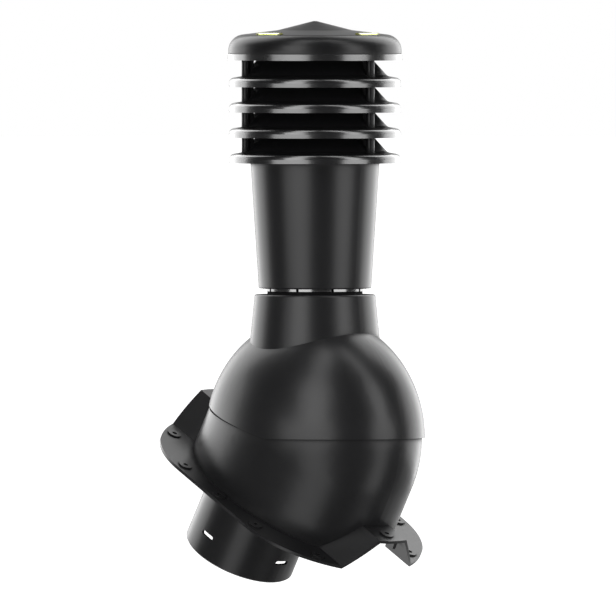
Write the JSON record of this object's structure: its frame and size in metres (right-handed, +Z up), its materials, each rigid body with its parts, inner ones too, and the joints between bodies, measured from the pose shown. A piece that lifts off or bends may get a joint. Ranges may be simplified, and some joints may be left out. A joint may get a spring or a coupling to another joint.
{
  "type": "roof ventilation pipe",
  "caption": "Roof vent pipe: louvred head with a level in its cap, tapered pipe and tilting dome on a ball foot with a ribbed roof flange and a duct spigot below.",
  "frame": {"origin": "on the roof, where the axis of the foot meets the seat plane of the flange, midway between the two middle side screws", "axes": "+Z straight up along the pipe, +X down the roof slope (the seat plane leans 30 degrees), +Y across the slope"},
  "size_m": [0.3069, 0.247, 0.6193],
  "materials": {
    "satin_black": "satin moulded polypropylene",
    "gloss_black": "glossy moulded polypropylene",
    "vial_clear": "clear tube",
    "level_fluid": "yellow-green level fluid",
    "vial_plug": "tinted plug"
  },
  "bodies": {
    "foot": {"roof_base": "satin_black", "duct_spigot": "satin_black"},
    "head": {"tilting_dome": "satin_black", "retaining_ring": "satin_black", "vent_pipe": "satin_black", "louvre_ring_1": "gloss_black", "louvre_ring_2": "gloss_black", "louvre_ring_3": "gloss_black", "louvre_ring_4": "gloss_black", "cap": "gloss_black", "slope_vial": "vial_clear", "cross_vial": "vial_clear", "slope_fluid": "level_fluid", "cross_fluid": "level_fluid", "vial_plugs": "vial_plug"}
  },
  "joints": [
    {"name": "tilt", "type": "hinge", "parent": "foot", "child": "head", "pos_m": [0.038, 0, 0.06582], "axis": [0, 1, 0], "range_deg": [-2, 25]}
  ]
}
